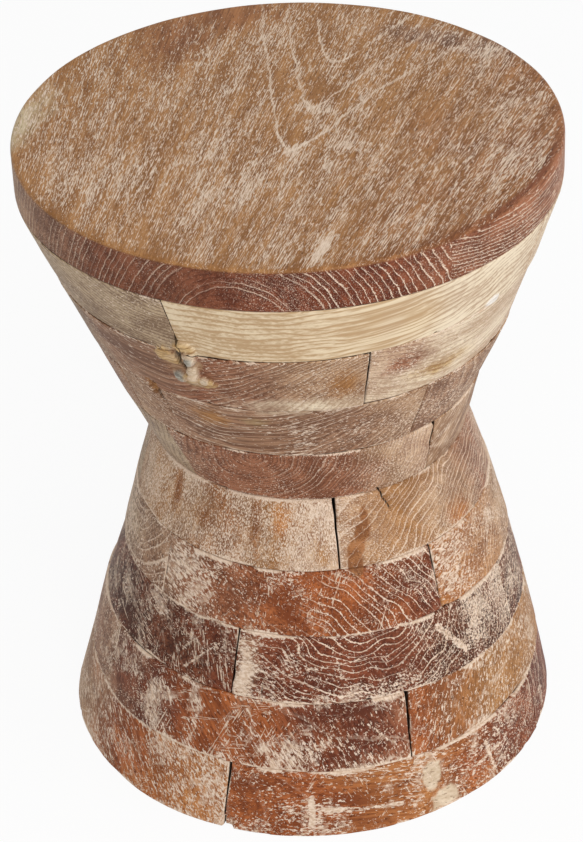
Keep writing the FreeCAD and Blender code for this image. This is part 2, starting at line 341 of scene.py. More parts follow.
# Pale strokes where a tool scraped the blocks and lime filled the scrape, given in the same way
STROKE_LIME = 0.45
STROKES = [
    ((305.0, 132.0), (314.0, 105.0), 2.2),
    ((273.0, 137.0), (276.0, 114.0), 0.7),
    ((266.0, 122.0), (282.0, 126.0), 0.6),
    ((224.0, 103.0), (235.0, 134.0), 0.7),
    ((231.0, 106.0), (240.0, 130.0), 0.7),
    ((282.0, 79.0), (290.0, 58.0), 0.8),
    ((271.0, 20.0), (290.0, 15.0), 1.7),
    ((268.0, 29.0), (268.4, 9.0), 1.9),
    ((311.0, 18.0), (320.0, 22.0), 0.9),
    ((315.0, 31.0), (317.0, 6.0), 0.9),
]


# Small mathematics


def fade(x, low, high):
    """0 below low, 1 above high, and a smooth S between them."""
    share = np.clip((x - low) / (high - low), 0.0, 1.0)
    return share * share * (3.0 - 2.0 * share)


def rounding(distance, radius):
    """How far a quarter-round edge drops at a distance from the edge: radius at 0, nothing at radius."""
    inside = np.clip(radius - distance, 0.0, radius)
    return radius - np.sqrt(np.maximum(radius * radius - inside * inside, 0.0))


def lattice(cells, seed):
    """A repeatable number from -1 to 1 for each cell: a product-and-shift hash of its whole numbers."""
    steps = np.array([374761393, 668265263, 2246822519], dtype=np.uint64)
    mixed = (cells.astype(np.int64).astype(np.uint64) * steps).sum(-1) + np.uint64(seed * 3266489917)
    mixed = (mixed ^ (mixed >> np.uint64(15))) * np.uint64(2246822519)
    mixed = (mixed ^ (mixed >> np.uint64(13))) * np.uint64(3266489917)
    return ((mixed >> np.uint64(16)) & np.uint64(0xFFFF)).astype(float) / 32767.5 - 1.0


def clouds(points, cell, seed):
    """Smooth noise from -1 to 1: lattice values at the corners of cubes of one size, blended by S curves."""
    scaled = points / cell
    low = np.floor(scaled)
    part = scaled - low
    part = part * part * (3.0 - 2.0 * part)
    total = 0.0
    for corner in np.ndindex(2, 2, 2):
        weight = np.prod(np.where(np.array(corner) == 1, part, 1.0 - part), axis=-1)
        total = total + weight * lattice(low + np.array(corner), seed)
    return total


def screen_to_light(colour):
    """A screen colour from 0 to 255 as linear light from 0 to 1."""
    share = np.array(colour) / 255.0
    return np.where(share <= 0.04045, share / 12.92, ((share + 0.055) / 1.055) ** 2.4)


def along_edges(length, pitch):
    """Places from 0 to a length at about one pitch, closer together near both ends for the rounded edges."""
    edge = np.array([0.0, 0.08, 0.25, 0.55, 1.0, 1.6, 2.4])
    middle = np.linspace(3.4, length - 3.4, max(int((length - 6.8) / pitch), 2))
    return np.concatenate([edge, middle, length - edge[::-1]])


def turn_between(angle, middle):
    """The turn in degrees from a middle angle to an angle, from -180 to 180."""
    return (angle - middle + 180.0) % 360.0 - 180.0


# Meshes


def sleeve(columns, rows):
    """Quads of a grid whose rows close on themselves, so that each column is a loop."""
    column, row = np.meshgrid(np.arange(columns - 1), np.arange(rows), indexing="ij")
    after = (row + 1) % rows
    here, beyond = column * rows, (column + 1) * rows
    return np.stack([here + row, beyond + row, beyond + after, here + after], -1).reshape(-1, 4)


def dish(columns, rows):
    """Quads of a grid whose columns close on themselves, so that each row is a loop."""
    column, row = np.meshgrid(np.arange(columns), np.arange(rows - 1), indexing="ij")
    here, beyond = column * rows + row, (column + 1) % columns * rows + row
    return np.stack([here, beyond, beyond + 1, here + 1], -1).reshape(-1, 4)


def cap(loop, centre, flip):
    """Triangles from a loop of vertices to its centre vertex."""
    ring = np.roll(loop, -1)
    middle = np.full_like(loop, centre)
    return np.stack([middle, ring, loop] if flip else [middle, loop, ring], -1)


# Edges that turn by more than this many degrees stay sharp
SHARP_ANGLE = 50.0


def new_piece(name, points, quads, triangles, marks):
    """A mesh object of points in millimetres, with numbers, vectors or colours marked on its vertices."""
    mesh = bpy.data.meshes.new(name)
    corners = np.concatenate([quads.ravel(), triangles.ravel()]).astype(np.int32)
    counts = np.concatenate([np.full(len(quads), 4), np.full(len(triangles), 3)])
    starts = np.concatenate([[0], np.cumsum(counts)[:-1]]).astype(np.int32)
    mesh.vertices.add(len(points))
    mesh.vertices.foreach_set("co", (points * METRE).astype(np.float32).ravel())
    mesh.loops.add(len(corners))
    mesh.loops.foreach_set("vertex_index", corners)
    mesh.polygons.add(len(counts))
    mesh.polygons.foreach_set("loop_start", starts)
    mesh.polygons.foreach_set("use_smooth", np.ones(len(counts), dtype=bool))
    mesh.update(calc_edges=True)
    mesh.validate()
    for mark, values in marks.items():
        values = np.asarray(values, dtype=np.float32)
        if values.ndim == 1:
            layer = mesh.attributes.new(mark, "FLOAT", "POINT")
            layer.data.foreach_set("value", values)
        elif values.shape[1] == 3:
            layer = mesh.attributes.new(mark, "FLOAT_VECTOR", "POINT")
            layer.data.foreach_set("vector", values.ravel())
        else:
            layer = mesh.attributes.new(mark, "FLOAT_COLOR", "POINT")
            layer.data.foreach_set("color", values.ravel())
    mesh.set_sharp_from_angle(angle=math.radians(SHARP_ANGLE))
    piece = bpy.data.objects.new(name, mesh)
    bpy.context.scene.collection.objects.link(piece)
    return piece


# What the limed teak's material reads on a piece's vertices: pale and dark colours, fibre (the spot along,
# across and up the fibres), growth (distance from the tree's middle) and year (width of a growth ring),
# figure, lime, blots, veins (how dark late wood is) and split (distance to the nearest split, or FAR, which
# sets where near-black painted shade goes; on the blocks it also carries painted shade along seams and
# joints)
FAR = 8.0


def tone_marks(tones, place):
    """The pale and dark colours at a place from 0 to 1 along a list of tones, blended between them."""
    marks = {}
    stops = np.linspace(0.0, 1.0, len(tones))
    for side, mark in enumerate(("pale", "dark")):
        colours = np.array([screen_to_light(TONES[tone][side]) for tone in tones])
        blended = [np.interp(place, stops, colours[:, channel]) for channel in range(3)]
        marks[mark] = np.stack(blended + [np.ones_like(place)], -1)
    return marks


def patch_share(across, up, patch, points, seed):
    """How far each vertex lies in a patch: 1 inside its ellipse, 0 outside, with a ragged or soft border."""
    ragged = 0.28 * clouds(points, 7.0, seed) + 0.16 * clouds(points, 2.6, seed + 1)
    reach = np.hypot(across / patch.reach[0], up / patch.reach[1]) + ragged
    return 1.0 - (fade(reach, 0.78, 1.06) if patch.crisp else fade(reach, 0.1, 1.25))


def lay_patch(marks, patch, share):
    """Turns the marks inside a patch to its tone and its lime."""
    marks["lime"] += patch.lime * share
    if patch.tone:
        for mark, colours in tone_marks([patch.tone], np.zeros_like(share)).items():
            marks[mark] += (colours - marks[mark]) * share[:, None]


def fibre_axes(tilt, lean):
    """Directions along, outwards of and above fibres that climb by a tilt and turn outwards by a lean."""
    tilt, lean = math.radians(tilt), math.radians(lean)
    along = (math.cos(lean) * math.cos(tilt), math.sin(lean), math.cos(lean) * math.sin(tilt))
    out = (-math.sin(lean) * math.cos(tilt), math.cos(lean), -math.sin(lean) * math.sin(tilt))
    above = (-math.sin(tilt), 0.0, math.cos(tilt))
    return np.stack([along, out, above], -1)


def bent_growth(growth, fibre, year, wave, seed):
    """Growth rings pushed out of round by slow noise, and closer or wider from year to year."""
    slow = clouds(fibre * (0.35, 1.0, 1.0), 42.0, seed)
    quick = clouds(fibre * (0.6, 1.0, 1.0), 13.0, seed + 1)
    bent = growth + 3.0 * slow + wave * quick
    seasons = np.stack([bent / year, 0.0 * bent, 0.0 * bent], -1)
    return bent + 0.5 * year * clouds(seasons, 2.3, seed + 2)


def along_stops(place, values):
    """One number, or several spread evenly from 0 to 1, at each place."""
    values = np.atleast_1d(values)
    return np.interp(place, np.linspace(0.0, 1.0, len(values)), values)


# The blocks of the rings


def level_height(level, x, y):
    """Height of a seam between rings above a spot: its level, tilted by its climbs."""
    tilt = (LEVEL_CLIMB_RIGHT[level] * x + LEVEL_CLIMB_BACK[level] * y) / LEVEL_RADIUS[level]
    return STACK_HEIGHT - RING_HEIGHT * level + tilt


def joint_gap(ring, place):
    """Width of the open joint before a block."""
    return OPEN_JOINTS.get((ring, BLOCK_LETTERS[place % len(BLOCK_LETTERS)]), USUAL_GAP)


def half_gap(ring, place, rise, ragged):
    """Half the width of the open joint before a block up its face: wider at the top, and ragged."""
    return 0.5 * joint_gap(ring, place) * (0.6 + 0.8 * rise) * (1.0 + 0.5 * ragged)


# The edge on the floor is worn less than the others
FLOOR_EDGE_WEAR = 0.45
# The grid on a block's face: its pitch round the axis and up the face, in mm
PITCH_ROUND = 1.35
PITCH_UP = 1.25
# How far a block's face swells over long and over short waves, and how deep its splits are, in mm
LONG_SWELL = 0.6
SHORT_SWELL = 0.14
SPLIT_DEPTH = 1.6
# How much its lime varies over long and over short waves
LONG_LIME = 0.14
SHORT_LIME = 0.1
# Along seams and joints shade is painted in, as dark as in a split: what it starts from, what lodged lime
# takes off that, and how far in it reaches at least, and more in places, in mm
EDGE_SHADE = 0.65
SHADE_LIMED = 0.35
SHADE_LEAST = 0.05
SHADE_MORE = 0.45
# Blocks take their fibres from spots of the noise this far apart
FIBRE_APART = 37.0


def worn_edge(spots, seed):
    """Radius of a worn edge along its run: a soft arris with rounder stretches and a few chips."""
    soft = fade(clouds(spots, 14.0, seed), -0.2, 0.9)
    chips = fade(clouds(spots, 6.0, seed + 1), 0.5, 0.9)
    return 0.9 + 1.1 * soft + 2.6 * chips


def block_sunk(angle, height, points):
    """How far the patches on the rings sink a block's face, with each patch's share of the face."""
    sunk = np.zeros(len(points))
    laid = []
    radius = np.hypot(points[:, 0], points[:, 1])
    for number, patch in enumerate(RING_PATCHES):
        across = np.radians(turn_between(angle, patch.place[0])) * radius
        up = height - patch.place[1]
        if np.hypot(across / patch.reach[0], up / patch.reach[1]).min() > 1.5:
            continue
        share = patch_share(across, up, patch, points, 600 + 2 * number)
        sunk += patch.sunk * share * (1.0 + 0.3 * clouds(points, 4.0, 700 + number))
        laid.append((patch, share))
    return sunk, laid


def line_distance(lines, angle, height, points):
    """Distance from each vertex to the nearest of the lines, in widths of that line, wandering a little."""
    nearest = np.full(len(points), FAR)
    radius = np.hypot(points[:, 0], points[:, 1])
    wander = 0.6 * clouds(points, 5.0, 31)
    for (angle_1, height_1), (angle_2, height_2), width in lines:
        run = np.array([math.radians(angle_2 - angle_1) * radius.mean(), height_2 - height_1])
        spot = np.stack([np.radians(turn_between(angle, angle_1)) * radius, height - height_1], -1)
        share = np.clip(spot @ run / (run @ run), 0.0, 1.0)
        reach = np.hypot(*(spot - share[:, None] * run).T + wander * (share > 0) * (share < 1))
        nearest = np.minimum(nearest, reach / width)
    return nearest


def ring_block(ring, place):
    """One block: its section, carried round the axis from one joint to the next.

    The section runs up the turned outer face, in along the top, down the flat inner face and out along the
    bottom. The outer radius is the ring's cone, plus the block's own stand, plus slow noise, less the
    quarter-round of the nearest worn edges and what patches sink.
    """
    look = LOOKS[ring - 1][place]
    seed = 40 * ring + 10 * place
    upper, lower = ring - 1, ring
    start = RING_TURNS[ring - 1] + BLOCK_SPAN * place
    middle = math.radians(start + BLOCK_SPAN / 2)
    narrow = min(LEVEL_RADIUS[upper], LEVEL_RADIUS[lower])
    wide = max(LEVEL_RADIUS[upper], LEVEL_RADIUS[lower])
    inner = narrow - BLOCK_THICKNESS
    arc = math.radians(BLOCK_SPAN) * wide

    round_share = along_edges(arc, PITCH_ROUND) / arc
    face_share = along_edges(RING_HEIGHT, PITCH_UP) / RING_HEIGHT
    columns, face_rows = len(round_share), len(face_share)
    share = round_share[:, None] * np.ones(face_rows)
    rise = np.ones(columns)[:, None] * face_share

    def spot(angle, radius, height_share):
        shift = LEVEL_SHIFT[lower] + (LEVEL_SHIFT[upper] - LEVEL_SHIFT[lower]) * height_share
        return shift + radius * np.cos(angle), radius * np.sin(angle)

    cone = LEVEL_RADIUS[lower] + (LEVEL_RADIUS[upper] - LEVEL_RADIUS[lower]) * rise
    ragged = clouds(np.stack([rise * RING_HEIGHT, share * 0, share * 0 + 5.0], -1), 9.0, seed + 3)
    first = math.radians(start) + half_gap(ring, place, rise, ragged) / cone
    last = math.radians(start + BLOCK_SPAN) - half_gap(ring, place + 1, rise, ragged) / cone
    angle = first + (last - first) * share
    x, y = spot(angle, cone, rise)
    bottom = level_height(lower, x, y) + SEAM_HAIRLINE
    top = level_height(upper, x, y) - SEAM_HAIRLINE
    height = bottom + (top - bottom) * rise
    flat = np.stack([x, y, height], -1)

    edge_run = np.stack([x, y, height * 0.05], -1)
    to_end = np.minimum(share, 1.0 - share) * arc
    to_top = (1.0 - rise) * RING_HEIGHT
    to_bottom = rise * RING_HEIGHT
    floor_share = FLOOR_EDGE_WEAR if ring == RINGS else 1.0
    dropped = rounding(to_top, worn_edge(edge_run, seed + 4))
    dropped += rounding(to_bottom, floor_share * worn_edge(edge_run, seed + 6))
    gap = np.where(share < 0.5, joint_gap(ring, place), joint_gap(ring, place + 1))
    dropped += rounding(to_end, worn_edge(flat, seed + 8) * np.minimum(gap / USUAL_GAP, 1.0))
    swell = LONG_SWELL * clouds(flat, 46.0, seed + 9) + SHORT_SWELL * clouds(flat, 9.0, seed + 10)
    face_points = flat.reshape(-1, 3)
    face_angle = np.degrees(angle).ravel()
    sunk, laid = block_sunk(face_angle, height.ravel(), face_points)
    split = line_distance(SPLITS, face_angle, height.ravel(), face_points)
    stroke = line_distance(STROKES, face_angle, height.ravel(), face_points)
    sunk += SPLIT_DEPTH * (1.0 - fade(split, 0.5, 2.0))
    radius = cone + look.proud + swell - dropped - sunk.reshape(cone.shape)
    x, y = spot(angle, radius, rise)
    face = np.stack([x, y, height], -1)

    inner_radius = inner / np.cos(angle - middle)
    back_shares = np.array([0.03, 0.15, 0.4, 0.7, 1.0])
    sections = [face]
    for row, level, shares, step in (
        (-1, upper, back_shares, -SEAM_HAIRLINE),
        (0, lower, back_shares[::-1], SEAM_HAIRLINE),
    ):
        depth = radius[:, [row]] + (inner_radius[:, [row]] - radius[:, [row]]) * shares
        x, y = spot(angle[:, [row]], depth, 1.0 if row == -1 else 0.0)
        sections.append(np.stack([x, y, level_height(level, x, y) + step], -1))
    grid = np.concatenate(sections, axis=1)
    rows = grid.shape[1]
    ends = grid[[0, -1]].mean(axis=1)
    points = np.concatenate([grid.reshape(-1, 3), ends])
    loops = np.arange(columns * rows).reshape(columns, rows)
    triangles = np.concatenate([
        cap(loops[0], columns * rows, False),
        cap(loops[-1], columns * rows + 1, True),
    ])

    def spread(values, elsewhere):
        """Values on the face as values on all vertices, with one number elsewhere."""
        whole = np.full((columns, rows), elsewhere)
        whole[:, :face_rows] = values.reshape(columns, face_rows)
        return np.concatenate([whole.ravel(), [elsewhere, elsewhere]])

    chord = np.array([-math.sin(middle), math.cos(middle), 0.0])
    outward = np.array([math.cos(middle), math.sin(middle), 0.0])
    centre = outward * (narrow - BLOCK_THICKNESS / 2) + (0, 0, STACK_HEIGHT - RING_HEIGHT * (ring - 0.5))
    local = (points - centre) @ np.stack([chord, outward, (0, 0, 1)], -1)
    fibre = (local - look.heart) @ fibre_axes(look.tilt, look.lean)
    along_block = local[:, 0] / (2.0 * wide * math.sin(math.radians(BLOCK_SPAN / 2))) + 0.5
    marks = tone_marks(look.tones, np.clip(along_block + 0.12 * clouds(local, 24.0, seed + 2), 0.0, 1.0))
    shortness, coarseness = RING_FIBRES[ring - 1]
    apart = FIBRE_APART * np.array([seed % 7, seed % 11, seed % 13])
    marks["fibre"] = fibre * (shortness, coarseness, coarseness) + apart
    marks["veins"] = np.full(len(points), RING_VEINS[ring - 1])
    growth = np.hypot(fibre[:, 1], fibre[:, 2])
    marks["growth"] = bent_growth(growth, fibre, look.year, look.wave, seed)
    marks["year"] = np.full(len(points), look.year)
    marks["blots"] = np.full(len(points), look.blots)
    drawn = along_stops(along_block, look.figure)
    marks["figure"] = np.clip(drawn * (1.0 + 0.8 * clouds(local, 30.0, seed + 13)), 0.0, 1.0)
    lodging = RING_LODGING[ring - 1]
    to_seam = spread(np.minimum(to_top, to_bottom), 0.0)
    to_joint = spread(to_end, 0.0)
    to_ledge = np.minimum(to_seam, LODGING_AT_ENDS * to_joint)
    lodged = np.exp(-((to_ledge / LODGING_REACH) ** 2)) * fade(clouds(points, 15.0, seed + 11), -0.2, 0.6)
    struck = 1.0 - fade(spread(stroke, FAR), 0.5, 1.5)
    marks["lime"] = along_stops(along_block, look.lime) + LONG_LIME * clouds(points, 44.0, seed + 12)
    marks["lime"] += SHORT_LIME * clouds(points, 16.0, seed + 14)
    marks["lime"] += LODGED_LIME * lodging * lodged + STROKE_LIME * struck
    # Painted shade near the seams and joints, reaching in over a ragged width and carried by the split mark
    shade = SHADE_LEAST + SHADE_MORE * fade(clouds(points, 12.0, seed + 15), -0.1, 0.7)
    painted_seam_shade = EDGE_SHADE + np.minimum(SHADE_LIMED * lodging**2 + to_seam / shade, to_joint / shade)
    marks["split"] = np.minimum(spread(split, FAR), painted_seam_shade)
    for patch, within in laid:
        lay_patch(marks, patch, spread(within, 0.0))
    return new_piece(f"ring_{ring}_{BLOCK_LETTERS[place]}", points, sleeve(columns, rows), triangles, marks)


# The round top

TOP_GRAIN = np.array([math.cos(math.radians(TOP_GRAIN_TURN)), math.sin(math.radians(TOP_GRAIN_TURN))])
TOP_ACROSS = np.array([TOP_GRAIN[1], -TOP_GRAIN[0]])
TOP_LOW = STACK_HEIGHT + SEAM_HAIRLINE
TOP_HIGH = STACK_HEIGHT + TOP_THICKNESS
# How far its lower edge and its edges at the seam are rounded, and half the gap at the seam, in mm
TOP_UNDER_EDGE = 1.2
SEAM_EDGE = 0.12
SEAM_GAP = 0.04
HALF_SEAM = math.sqrt(TOP_RADIUS**2 - TOP_SEAM**2)
# Where the grid's rows lie in from the rim, over its rounded edge, and how many rows go up the rim
EDGE_INSETS = np.array([0.0, 0.06, 0.2, 0.45, 0.8, 1.3, 1.9, 2.6, 3.6, 5.0])
RIM_ROWS = 15
# The side board's two tips are cut off this far from the circle, in mm
SIDE_TIP = 0.4

# The grain of the top fans out to the back, from a spot this far across and in front of the middle
FAN_ACROSS = 130.0
FAN_LENGTH = 1000.0
# The V-shaped figure on its face: where the tip of its outer V lies, how far its axis drifts across for each
# mm along, how steeply its arms run, how round its tip is, and the distance between its Vs across the grain
FIGURE_TIP = (13.0, -25.0)
FIGURE_DRIFT = 0.14
FIGURE_STEEPNESS = 2.9
FIGURE_TIP_ROUND = 8.0
FIGURE_YEAR = 19.7
# Their right-hand arms flare out over this distance, and lime draws them over this distance from the tip
FIGURE_FLARE = 80.0
FIGURE_REACH = 75.0
# The arched rings on its rim: their middle across and below the face, and their width. Lime draws those
# from the first radius to the last of the arch, and those beyond, fading between each pair of radii.
RIM_HEART = (34.0, -51.0)
RIM_YEAR = 3.7
RIM_ARCH_IN = (34.0, 38.0)
RIM_ARCH_OUT = (45.0, 48.0)
RIM_BEYOND = (54.0, 58.0)
# The side board's rings lie nearly level
SIDE_HEART = (100.0, -190.0)
SIDE_YEAR = 2.4
SIDE_DRAWN = 0.75


def worn_rim(across, along):
    """How far a spot of the rim lies within the worn stretch of its edge: a bell over the turn from there."""
    turn = np.degrees(np.arctan2(along, across)) + TOP_GRAIN_TURN - 90.0
    return np.exp(-((turn_between(turn, WORN_EDGE_TURN) / WORN_EDGE_SPREAD) ** 2))


def rim_edge(across, along):
    """Radius of the rounded rim at a spot of the outline: the drawn one, unevenly worn, and more in front."""
    spot = np.stack([across, along, np.zeros_like(across)], -1)
    return TOP_EDGE_ROUND * (1.0 + 0.2 * clouds(spot, 30.0, 3)) + WORN_EDGE_ROUND * worn_rim(across, along)


def planed_wave(across, along):
    """How far hand planing left the top's face below its highest plane."""
    spot = np.stack([across, along, np.zeros_like(across)], -1)
    return 0.14 * (1.0 + clouds(spot, 55.0, 4)) + 0.04 * (1.0 + clouds(spot * (1.0, 0.2, 1.0), 9.0, 5))


def face_height(across, along, edge, to_seam):
    """Height of the top's face: its plane, less planing waves, the rounded rim and the eased seam."""
    to_rim = TOP_RADIUS - np.hypot(across, along)
    worked = rounding(to_rim, edge) + rounding(to_seam, SEAM_EDGE)
    return TOP_HIGH - planed_wave(across, along) - worked


def main_board():
    """The wide board: a profile carried round its outline, a circle cut off straight along the seam.

    The profile runs from the middle of the underside out to the rim, up it, and back in over the top. Each
    spot of it is a share of the way from the middle of the board to the outline.
    """
    corner = math.atan2(HALF_SEAM, TOP_SEAM)
    arc = np.linspace(corner, 2.0 * math.pi - corner, 640)
    seam = np.linspace(-HALF_SEAM, HALF_SEAM, 150)[1:-1]
    outline = np.concatenate([
        np.stack([TOP_RADIUS * np.cos(arc), TOP_RADIUS * np.sin(arc)], -1),
        np.stack([np.full_like(seam, TOP_SEAM - SEAM_GAP), seam], -1),
    ])
    columns = len(outline)
    reach = np.hypot(outline[:, 0], outline[:, 1])[:, None]
    edge = rim_edge(outline[:, 0], outline[:, 1])[:, None]
    under_shares = np.array([0.02, 0.3, 0.6, 0.85, 0.97])
    under_insets = np.array([0.5, 0.2, 0.05, 0.0])
    rim_shares = np.linspace(0.0, 1.0, RIM_ROWS)[1:-1]
    face_shares = np.linspace(1.0, 0.0, 92)[1:-1]
    ones = np.ones((columns, 1))

    inset = np.concatenate([
        reach * (1.0 - under_shares),
        ones * (under_insets * TOP_UNDER_EDGE),
        ones * np.zeros(len(rim_shares)),
        ones * EDGE_INSETS,
        EDGE_INSETS[-1] + (reach - EDGE_INSETS[-1]) * (1.0 - face_shares),
    ], axis=1)
    plan = outline[:, None, :] * (1.0 - inset / reach)[..., None]
    across, along = plan[..., 0], plan[..., 1]
    high = face_height(across, along, edge, TOP_SEAM - SEAM_GAP - across)
    low = TOP_LOW + rounding(inset, TOP_UNDER_EDGE)
    face_start = len(under_shares) + len(under_insets) + len(rim_shares)
    height = np.where(np.arange(inset.shape[1]) < face_start, low, high)
    rim = slice(len(under_shares) + len(under_insets), face_start)
    foot, brow = low[:, [rim.start]], high[:, [face_start]]
    height[:, rim] = foot + (brow - foot) * rim_shares
    loops = np.arange(height.size).reshape(height.shape)
    poles = [(loops[:, 0], True), (loops[:, -1], False)]
    return finish_board("main_plank", plan, height, dish(*height.shape), poles, main_figure)


def side_board():
    """The narrow board: a section from the seam to the rim, carried along the seam.

    The section runs out along the underside, up the rim and back over the top to the seam. Its width at each
    spot of the seam is what the circle leaves there.
    """
    last = HALF_SEAM - SIDE_TIP
    along = np.linspace(-last, last, 240)[:, None]
    width = np.sqrt(TOP_RADIUS**2 - along**2) - TOP_SEAM - SEAM_GAP
    under = np.array([1.0, 0.7, 0.4, 0.1, 0.02])
    up_rim = np.linspace(0.0, 1.0, RIM_ROWS)[1:-1]
    over = np.concatenate([EDGE_INSETS / SIDE_BOARD_WIDTH, np.linspace(0.19, 0.97, 24), [0.985, 0.995, 1.0]])
    share = np.concatenate([under, np.zeros(len(up_rim)), over])
    across = TOP_SEAM + SEAM_GAP + width * (1.0 - share)
    plan = np.stack([across, along + 0.0 * across], -1)
    edge = rim_edge(TOP_SEAM + width, along)
    high = face_height(across, plan[..., 1], edge, across - TOP_SEAM - SEAM_GAP)
    low = TOP_LOW + rounding(TOP_RADIUS - np.hypot(across, along), TOP_UNDER_EDGE)
    face_start = len(under) + len(up_rim)
    height = np.where(np.arange(len(share)) < face_start, low, high)
    foot = TOP_LOW + TOP_UNDER_EDGE
    height[:, len(under):face_start] = foot + (high[:, [face_start]] - foot) * up_rim
    loops = np.arange(height.size).reshape(height.shape)
    poles = [(loops[0], False), (loops[-1], True)]
    return finish_board("side_plank", plan, height, sleeve(*height.shape), poles, side_figure)


def finish_board(name, plan, height, quads, poles, figure):
    """Closes a board's grid at its poles, turns it to its place on the stack and marks its teak."""
    flat_plan, flat_height = plan.reshape(-1, 2), height.ravel()
    centres = [(flat_plan[loop].mean(0), flat_height[loop].mean()) for loop, _ in poles]
    triangles = np.concatenate([
        cap(loop, height.size + pole, flip) for pole, (loop, flip) in enumerate(poles)
    ])
    flat_plan = np.concatenate([flat_plan, [centre for centre, _ in centres]])
    flat_height = np.concatenate([flat_height, [level for _, level in centres]])
    turned = flat_plan[:, :1] * TOP_ACROSS + flat_plan[:, 1:] * TOP_GRAIN
    points = np.concatenate([turned + (LEVEL_SHIFT[0], 0.0), flat_height[:, None]], axis=1)
    marks = board_marks(flat_plan[:, 0], flat_plan[:, 1], flat_height - TOP_HIGH, points, figure)
    return new_piece(name, points, quads, triangles, marks)


def main_figure(across, along, up):
    """Growth rings of the wide board, on its face and on its rim.

    On the face they are nested Vs: a hyperbola across the grain, less the way along it. On the rim they are
    circles about the tree's middle.
    """
    off = across - FIGURE_TIP[0] + FIGURE_DRIFT * (along - FIGURE_TIP[1])
    arms = np.hypot(off, FIGURE_TIP_ROUND) - FIGURE_TIP_ROUND
    arms = np.where(off > 0.0, FIGURE_FLARE * np.tanh(arms / FIGURE_FLARE), arms)
    face = arms - (along - FIGURE_TIP[1]) / FIGURE_STEEPNESS
    drawn = 1.0 - fade(np.abs(face + FIGURE_YEAR), 1.2 * FIGURE_YEAR, 2.2 * FIGURE_YEAR)
    drawn = 0.12 + 0.88 * drawn * np.exp(-((off / FIGURE_REACH) ** 2))
    rim = np.hypot(across - RIM_HEART[0], up - RIM_HEART[1])
    arch = fade(rim, *RIM_ARCH_IN) * (1.0 - fade(rim, *RIM_ARCH_OUT))
    to_right = 0.6 + 0.4 * fade(across, 20.0, 60.0)
    rim_drawn = to_right * (0.1 + 0.9 * np.maximum(arch, fade(rim, *RIM_BEYOND)))
    return (face, FIGURE_YEAR, drawn), (rim, RIM_YEAR, rim_drawn)


def side_figure(across, along, up):
    """Growth rings of the narrow board: nearly level circles about a far middle, below and to the left."""
    rings = np.hypot(across - SIDE_HEART[0], up - SIDE_HEART[1])
    return (rings, SIDE_YEAR, 0.0 * rings), (rings, SIDE_YEAR, 0.0 * rings + SIDE_DRAWN)


# Lime gathered beside the growth rings that show on the face: how much, and how far from them in mm
FIGURE_LIME = 0.16
FIGURE_LIME_REACH = 1.6
# The top's lime on its face and on the rim of each board, and the long streaks and fine strokes in it
FACE_LIME = 0.41
RIM_LIME = 0.14
SIDE_RIM_LIME = 0.22
STREAK_LIME = 0.06
FINE_STREAK_LIME = 0.12
# How bare hands have rubbed the very edge, how far in, and how short and how coarse the fibres are
EDGE_RUBBED = 0.3
EDGE_RUB_REACH = 4.0
FACE_FIBRES = (1.0, 1.35, 1.35)
FACE_VEINS = 0.25
RIM_VEINS = 0.45
# From the face down to the rim the marks change over these depths, in mm
RIM_STARTS = (1.2, 2.8)
FACE_TONES = ("honey", "honey", "honey", "cinnamon")
RIM_TONES = ("tan", "plum", "wine", "wine", "mahogany", "mahogany", "russet")


